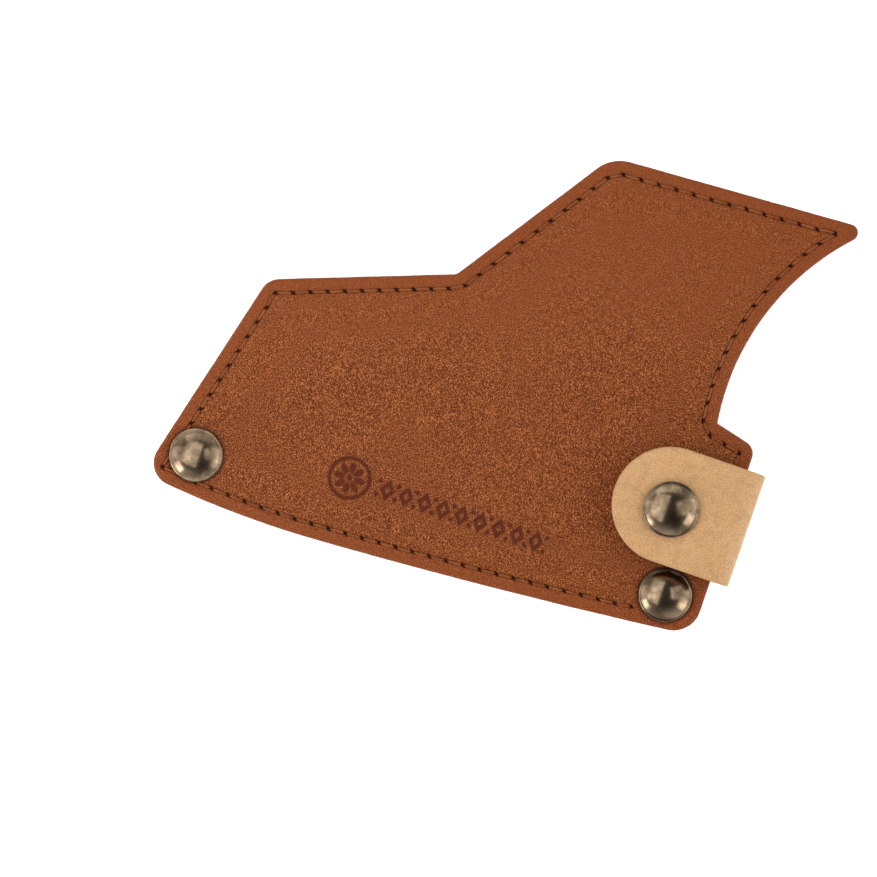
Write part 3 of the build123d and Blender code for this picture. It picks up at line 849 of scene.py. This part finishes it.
LEATHER_DARK = srgb(100, 43, 9)
LEATHER_MID = srgb(104, 45, 10)
LEATHER_LIGHT = srgb(110, 51, 17)
# painted shade: darkens the grain's creases, fine crease specks and the seam groove
LEATHER_PAINTED_SHADE = srgb(68, 28, 8)
# painted highlight: bright glint specks on the grain
LEATHER_PAINTED_GLINT = srgb(175, 102, 50)
LEATHER_MARGIN = srgb(122, 58, 23)
LEATHER_EDGE = srgb(112, 48, 18)
LEATHER_STAMP = srgb(80, 27, 3)
# painted light: lightens the leather up the lobe, where more light falls
LEATHER_LOBE_PAINTED_LIGHT = srgb(119, 57, 21)
# painted shade: darkens the needle slots and a ring round each rivet cap
LEATHER_PAINTED_HOLE_SHADE = srgb(60, 25, 10)
STRAP_DARK = srgb(181, 137, 87)
STRAP_LIGHT = srgb(189, 145, 95)
STRAP_MOTTLE = srgb(150, 111, 68)
STRAP_FIBRE = srgb(190, 153, 110)
STRAP_PORE = srgb(130, 92, 54)
STRAP_SPECK_DARK = srgb(150, 108, 66)
STRAP_SPECK_LIGHT = srgb(206, 166, 122)
STRAP_EDGE = srgb(150, 106, 62)
STRAP_FLESH = srgb(176, 140, 104)


def brown_leather(name):
    """Grained leather, worn at the edge, with painted glints and painted crease shade that fade up
    the lobe and along the margin, painted light up the lobe, and painted shade in the groove, the
    needle slots and round the rivet caps.
    """
    n = Nodes(name)
    place = n.place()
    tilted = n.add("ShaderNodeMapping", {
        "Vector": place, "Rotation": (0.0, 0.0, TILT), "Scale": (1.0, 1.7, 1.0),
    }, vector_type="TEXTURE").outputs[0]
    pebble = n.cells(tilted, 2300.0, "SMOOTH_F1", 0.3)
    fine = n.noise(tilted, 5800.0, 1.0, 0.6)
    patch = n.noise(place, 42.0, 4.0, 0.6)
    broad = n.noise(place, 14.0, 2.0, 0.5)
    grain, depth = n.attribute("grain"), n.attribute("depth")
    along = n.add("ShaderNodeSeparateXYZ", {"Vector": tilted}).outputs["Y"]
    # strength of the painted glints and painted crease shade: weaker up the lobe and in the margin
    painted_speck_strength = n.times(n.remap(along, -0.002, 0.011, 1.0, 0.62), n.remap(depth, 2.4, 3.4, 0.5, 1.0))
    colour = n.mix(n.remap(patch, 0.30, 0.70), LEATHER_DARK, LEATHER_MID)
    colour = n.mix(n.remap(broad, 0.35, 0.70, 0.0, 0.35), colour, LEATHER_LIGHT)
    # painted light up the lobe
    colour = n.mix(n.remap(along, -0.008, 0.010), colour, LEATHER_LOBE_PAINTED_LIGHT)
    # painted shade in the grain's creases
    colour = n.mix(n.remap(grain, 0.0, 0.6, 0.12, 0.0), colour, LEATHER_PAINTED_SHADE)
    colour = n.mix(n.remap(depth, 2.6, 3.3, 0.85, 0.0), colour, LEATHER_MARGIN)
    # painted shade: dark crease specks in the fine grain noise
    colour = n.mix(n.times(painted_speck_strength, n.remap(fine, 0.32, 0.49, 1.0, 0.0)), colour, LEATHER_PAINTED_SHADE)
    # painted highlight: glint specks in the fine grain noise
    colour = n.mix(n.times(painted_speck_strength, n.remap(fine, 0.52, 0.64, 0.0, 1.0)), colour, LEATHER_PAINTED_GLINT)
    colour = n.mix(n.remap(depth, 0.0, 0.45, 0.6, 0.0), colour, LEATHER_EDGE)
    # painted shade in the seam groove
    colour = n.mix(n.times(n.attribute("groove"), 0.12), colour, LEATHER_PAINTED_SHADE)
    colour = n.mix(n.times(n.attribute("stamp"), 0.9), colour, LEATHER_STAMP)
    # painted shade in the needle slots and painted shadow round the rivet caps
    colour = n.mix(n.times(n.attribute("hole"), 0.9), colour, LEATHER_PAINTED_HOLE_SHADE)
    n.put(n.shader.inputs["Base Color"], colour)
    n.put(n.shader.inputs["Roughness"], n.remap(patch, 0.3, 0.7, 0.46, 0.36))
    n.shader.inputs["Specular IOR Level"].default_value = 0.13
    normal = n.bump(pebble, 0.60, 0.00025)
    normal = n.bump(fine, 0.55, 0.00014, normal)
    n.put(n.shader.inputs["Normal"], normal)
    return n.material


def strap_leather(name):
    """Natural leather: mottled, fibrous and pored, darker at its edge, napped on the flesh side."""
    n = Nodes(name)
    flat = n.add("ShaderNodeTexCoord").outputs["UV"]
    cloud = n.noise(flat, 7.0, 4.0, 0.6)
    mottle = n.noise(flat, 48.0, 5.0, 0.65)
    pores = n.cells(flat, 150.0, "F1")
    fibre = n.noise(n.stretched(flat, (1.0, 3.2, 1.0)), 160.0, 3.0, 0.6)
    colour = n.mix(n.remap(cloud, 0.35, 0.65), STRAP_DARK, STRAP_LIGHT)
    colour = n.mix(n.remap(mottle, 0.42, 0.70, 0.0, 0.6), colour, STRAP_MOTTLE)
    colour = n.mix(n.remap(fibre, 0.46, 0.68, 0.0, 0.55), colour, STRAP_FIBRE)
    colour = n.mix(n.remap(pores, 0.0, 0.16, 0.30, 0.0), colour, STRAP_PORE)
    speck = n.noise(flat, 330.0, 1.0, 0.5)
    colour = n.mix(n.remap(speck, 0.30, 0.48, 0.6, 0.0), colour, STRAP_SPECK_DARK)
    colour = n.mix(n.remap(speck, 0.52, 0.68, 0.0, 0.6), colour, STRAP_SPECK_LIGHT)
    colour = n.mix(n.remap(n.attribute("depth"), 0.05, 0.7, 0.30, 0.0), colour, STRAP_EDGE)
    colour = n.mix(n.remap(n.attribute("flesh"), 0.6, 1.0, 0.0, 0.7), colour, STRAP_FLESH)
    n.put(n.shader.inputs["Base Color"], colour)
    n.put(n.shader.inputs["Roughness"], n.remap(mottle, 0.3, 0.7, 0.52, 0.66))
    normal = n.bump(fibre, 0.18, 0.00008)
    normal = n.bump(n.remap(pores, 0.0, 0.2), 0.22, 0.00006, normal)
    normal = n.bump(mottle, 0.25, 0.00012, normal)
    n.put(n.shader.inputs["Normal"], normal)
    return n.material


def plain_leather(name, dark, light, fibres=0.35):
    """Lining and welt leather: matte, fibrous, layered at the cut edge."""
    n = Nodes(name)
    place = n.place()
    nap = n.noise(place, 2600.0, 4.0, 0.7)
    cloud = n.noise(place, 120.0, 3.0, 0.6)
    layers = n.noise(n.stretched(place, (0.25, 0.25, 2.4)), 1500.0, 2.0, 0.5)
    colour = n.mix(n.remap(cloud, 0.3, 0.7), dark, light)
    colour = n.mix(n.remap(layers, 0.45, 0.7, 0.0, fibres), colour, srgb(66, 33, 17))
    colour = n.mix(n.remap(nap, 0.5, 0.8, 0.0, 0.3), colour, light)
    n.put(n.shader.inputs["Base Color"], colour)
    n.put(n.shader.inputs["Roughness"], n.remap(nap, 0.3, 0.7, 0.62, 0.82))
    normal = n.bump(nap, 0.35, 0.00012)
    normal = n.bump(layers, 0.25, 0.00012, normal)
    n.put(n.shader.inputs["Normal"], normal)
    return n.material


def thread(name, dark, light):
    """Waxed thread, shadowed where it goes down its holes."""
    n = Nodes(name)
    place = n.place()
    fibre = n.noise(place, 5200.0, 3.0, 0.6)
    cloud = n.noise(place, 300.0, 2.0, 0.5)
    colour = n.mix(n.remap(cloud, 0.3, 0.7), dark, light)
    colour = n.mix(n.remap(fibre, 0.4, 0.7, 0.0, 0.4), colour, srgb(70, 36, 18))
    colour = n.mix(n.times(n.attribute("sunk"), 0.85), colour, srgb(62, 29, 13))
    n.put(n.shader.inputs["Base Color"], colour)
    n.put(n.shader.inputs["Roughness"], n.remap(fibre, 0.3, 0.7, 0.5, 0.7))
    n.shader.inputs["Specular IOR Level"].default_value = 0.15
    n.put(n.shader.inputs["Normal"], n.bump(fibre, 0.3, 0.00006))
    return n.material


def nickel(name, tone, dark, low, high):
    """Antique plate: darker in worn clouds, finely scratched and a little uneven."""
    n = Nodes(name)
    place = n.place()
    cloud = n.noise(place, 260.0, 4.0, 0.6)
    speck = n.noise(place, 2600.0, 2.0, 0.5)
    hair = n.noise(n.stretched(place, (1.0, 14.0, 1.0)), 900.0, 2.0, 0.5)
    colour = n.mix(n.remap(cloud, 0.35, 0.7), tone, dark)
    colour = n.mix(n.remap(speck, 0.62, 0.8, 0.0, 0.5), colour, dark)
    n.put(n.shader.inputs["Base Color"], colour)
    n.shader.inputs["Metallic"].default_value = 1.0
    n.put(n.shader.inputs["Roughness"], n.remap(cloud, 0.3, 0.7, low, high))
    normal = n.bump(cloud, 0.10, 0.0002)
    normal = n.bump(hair, 0.06, 0.00003, normal)
    n.put(n.shader.inputs["Normal"], normal)
    return n.material


def dress(pieces, material):
    """Gives the pieces this one material."""
    for piece in pieces:
        piece.data.materials.clear()
        piece.data.materials.append(material)


def cad(*names):
    """The CAD's own objects, kept where their shape is right."""
    return [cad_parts[name] for name in names]


dress([front_leather, back_leather], brown_leather("grained_brown_leather"))
dress([strap_lower, strap_upper], strap_leather("natural_tan_leather"))
dress(brown_threads, thread("brown_thread", srgb(124, 64, 30), srgb(144, 82, 44)))
dress(tan_threads + cad("strap_anchor_bobbin_thread"),
      thread("tan_thread", srgb(150, 106, 66), srgb(176, 132, 90)))
dress(linings,
      plain_leather("lining_leather", srgb(122, 78, 50), srgb(152, 104, 70)))
dress(welts,
      plain_leather("welt_leather", srgb(96, 52, 28), srgb(124, 72, 42), 0.5))
dress(metal, nickel("antique_nickel", srgb(141, 121, 98), srgb(88, 73, 57), 0.14, 0.24))
dress(cad("snap_stud", "snap_socket"),
      nickel("antique_nickel_inner", srgb(176, 168, 152), srgb(120, 110, 94), 0.24, 0.36))
dress(cad("toe_rivet_tube", "toe_rivet_post", "heel_rivet_tube", "heel_rivet_post",
          "snap_stud_post", "snap_cap_post"),
      nickel("plated_steel", srgb(186, 184, 178), srgb(150, 146, 138), 0.28, 0.4))
dress(cad("snap_ring_spring"),
      nickel("spring_brass", srgb(204, 168, 96), srgb(150, 116, 60), 0.25, 0.4))


# ---------------------------------------------------------------- floor, light and camera
def floor():
    """A pale floor just under the sheath, lit up a little so that it stays white."""
    n = Nodes("pale_floor")
    place = n.place()
    colour = n.mix(n.noise(place, 3.0), (0.93, 0.93, 0.93, 1), (0.95, 0.95, 0.95, 1))
    n.put(n.shader.inputs["Base Color"], colour)
    n.shader.inputs["Roughness"].default_value = 0.9
    n.shader.inputs["Emission Color"].default_value = (1.0, 1.0, 1.0, 1.0)
    n.shader.inputs["Emission Strength"].default_value = 0.5
    half, level = 1500.0, -0.02
    corners = [(x * half, y * half, level) for x, y in ((-1, -1), (1, -1), (1, 1), (-1, 1))]
    made = mesh_object("floor", corners, [(0, 1, 2, 3)])
    made.data.materials.append(n.material)


floor()

# the picture's right and up directions on the floor, and the point at its middle
right = Vector((math.cos(TILT), math.sin(TILT), 0))
up = Vector((-math.sin(TILT), math.cos(TILT), 0))
target = Vector(((SNAP[0] - 53.6) * MM, (SNAP[1] - 1.9) * MM, FRONT * MM))


def area(name, offset, size, power, aim=(0, 0)):
    """A softbox placed by (right, up, height) in the picture's directions, in metres."""
    light = bpy.data.lights.new(name, "AREA")
    light.shape = "RECTANGLE"
    light.size, light.size_y = size
    light.energy = power
    lamp = bpy.data.objects.new(name, light)
    bpy.context.scene.collection.objects.link(lamp)
    lamp.location = target + right * offset[0] + up * offset[1] + Vector((0, 0, offset[2]))
    look = target + right * aim[0] + up * aim[1] - lamp.location
    lamp.rotation_euler = look.to_track_quat("-Z", "Y").to_euler()
    lamp.visible_camera = False


area("left_low", (-0.70, -0.42, 0.26), (0.35, 0.35), 3.2)
area("right_low", (0.66, -0.36, 0.30), (0.35, 0.45), 1.6)
area("left_softbox", (-0.75, 0.05, 0.55), (0.6, 1.2), 2.4)
area("right_softbox", (0.75, 0.05, 0.55), (0.6, 1.2), 3.6)
area("far_softbox", (0.0, 0.80, 0.50), (1.2, 0.4), 1.8)
area("overhead_left", (-0.15, 0.03, 0.30), (0.30, 0.46), 0.76, aim=(-0.15, 0.03))

def studio():
    """A world that is bright at the horizon and dark overhead, as the photograph's caps show."""
    world = bpy.data.worlds.new("studio")
    world.use_nodes = True
    nodes, links = world.node_tree.nodes, world.node_tree.links
    split = nodes.new("ShaderNodeSeparateXYZ")
    links.new(nodes.new("ShaderNodeTexCoord").outputs["Generated"], split.inputs[0])
    fall = nodes.new("ShaderNodeMapRange")
    fall.interpolation_type = "SMOOTHSTEP"
    ends = {"From Min": 0.25, "From Max": 0.85, "To Min": 1.0, "To Max": 0.10}
    for socket, value in ends.items():
        fall.inputs[socket].default_value = value
    links.new(split.outputs["Z"], fall.inputs["Value"])
    links.new(fall.outputs[0], nodes["Background"].inputs["Strength"])
    nodes["Background"].inputs["Color"].default_value = (1.0, 1.0, 1.0, 1.0)
    bpy.context.scene.world = world


studio()

distance, view_width = 0.8, 0.1949
lens = bpy.data.cameras.new("camera")
lens.sensor_width = 36.0
lens.lens = lens.sensor_width * distance / view_width
camera = bpy.data.objects.new("camera", lens)
bpy.context.scene.collection.objects.link(camera)
camera.location = target + Vector((0, 0, distance))
camera.rotation_euler = (0, 0, TILT)
bpy.context.scene.camera = camera
bpy.context.scene.view_settings.view_transform = "Standard"
